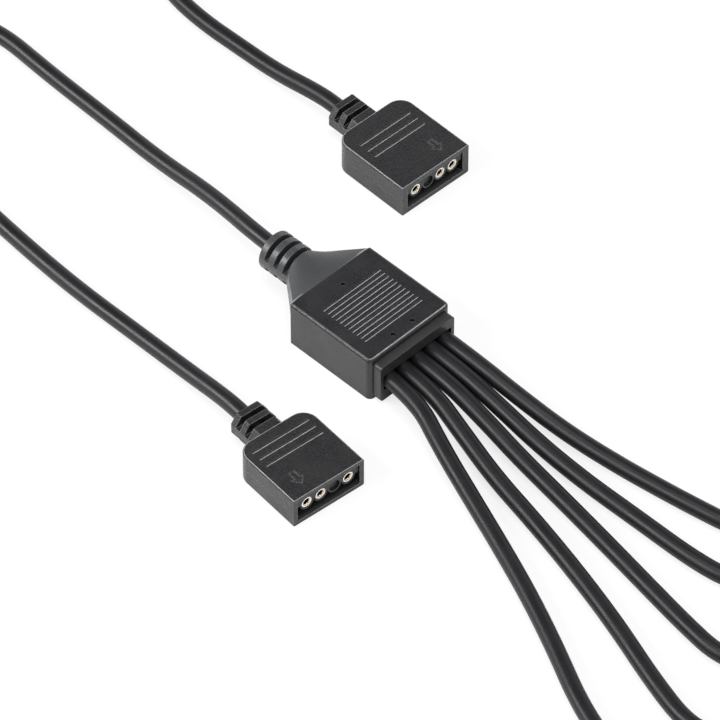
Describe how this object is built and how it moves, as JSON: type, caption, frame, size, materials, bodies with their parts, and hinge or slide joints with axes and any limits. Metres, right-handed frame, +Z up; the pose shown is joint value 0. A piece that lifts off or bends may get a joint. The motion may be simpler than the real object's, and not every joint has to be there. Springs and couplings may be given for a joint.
{
  "type": "cable splitter",
  "caption": "Black lighting splitter cable: a flat moulded block joins one input lead to a fan of output leads, each lead ending in a flat keyed socket plug.",
  "frame": {"origin": "on the floor, under the middle of the splitter's box", "axes": "+X from the input boot to the output leads, +Z up"},
  "size_m": [0.1969, 0.1297, 0.0082],
  "materials": {
    "moulding": "satin",
    "collar": "satin",
    "jacket": "semi-gloss",
    "carrier": "satin",
    "contact": "polished",
    "copper": "satin",
    "board": "satin",
    "core": "satin",
    "tie": "satin"
  },
  "bodies": {
    "root": {"splitter_housing": "moulding", "exit_collar": "collar", "junction_board": "board", "bus_tracks": "copper", "input_cores": "core", "output_cores": "core", "input_plug_housing": "moulding", "input_plug_carrier": "carrier", "input_plug_contacts": "contact", "output_plug_1_housing": "moulding", "output_plug_1_carrier": "carrier", "output_plug_1_contacts": "contact", "output_plug_2_housing": "moulding", "output_plug_2_carrier": "carrier", "output_plug_2_contacts": "contact", "output_plug_3_housing": "moulding", "output_plug_3_carrier": "carrier", "output_plug_3_contacts": "contact", "output_plug_4_housing": "moulding", "output_plug_4_carrier": "carrier", "output_plug_4_contacts": "contact", "output_plug_5_housing": "moulding", "output_plug_5_carrier": "carrier", "output_plug_5_contacts": "contact", "input_lead": "jacket", "output_lead_1": "jacket", "output_lead_2": "jacket", "output_lead_3": "jacket", "output_lead_4": "jacket", "output_lead_5": "jacket", "output_tail_1": "jacket", "output_tail_2": "jacket", "output_tail_3": "jacket", "output_tail_4": "jacket", "lead_coil": "jacket", "coil_tie": "tie"}
  },
  "joints": []
}
